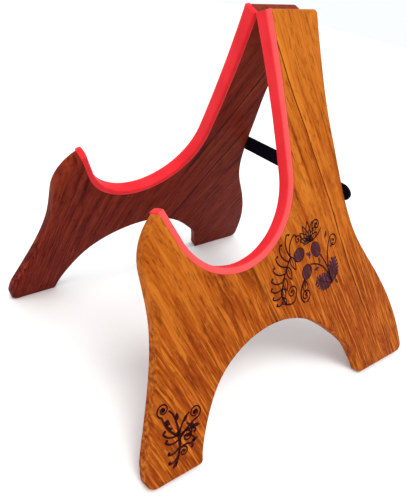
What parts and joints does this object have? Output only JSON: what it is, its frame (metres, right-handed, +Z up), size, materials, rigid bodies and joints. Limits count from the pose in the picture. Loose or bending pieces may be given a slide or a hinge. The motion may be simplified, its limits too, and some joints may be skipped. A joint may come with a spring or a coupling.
{
  "type": "folding instrument stand",
  "caption": "Folding wooden stand: mirrored side panels hinged along the top, padded cradle notches, arched feet and a flexible spreader strap at the rear.",
  "frame": {"origin": "centre of the stand's footprint box, on the floor, with the stand open", "axes": "+Z up, +Y to the rear where the strap is, +X to the right-hand panel seen from the front"},
  "size_m": [0.2824, 0.3258, 0.3058],
  "materials": {
    "panel_wood": "satin oiled hardwood",
    "pad_rubber": "soft satin",
    "hinge_brass": "aged",
    "hinge_screw_brass": "aged",
    "strap_leather": "matte black",
    "screw_steel": "blackened",
    "washer_steel": "blackened"
  },
  "bodies": {
    "left_side": {"left_panel": "panel_wood", "left_cradle_pad": "pad_rubber", "hinge_leaf_left": "hinge_brass", "hinge_screws_left": "hinge_screw_brass", "hinge_pin": "hinge_brass", "spreader_strap": "strap_leather", "strap_screw_left": "screw_steel", "strap_washer_left": "washer_steel"},
    "right_side": {"right_panel": "panel_wood", "right_cradle_pad": "pad_rubber", "hinge_leaf_right": "hinge_brass", "hinge_screws_right": "hinge_screw_brass", "strap_screw_right": "screw_steel", "strap_washer_right": "washer_steel"}
  },
  "joints": [
    {"name": "fold", "type": "hinge", "parent": "left_side", "child": "right_side", "pos_m": [0, 0.02644, 0.30225], "axis": [0, 0.9947, 0.1028], "range_deg": [0, 45], "deforming": ["spreader_strap"]}
  ]
}
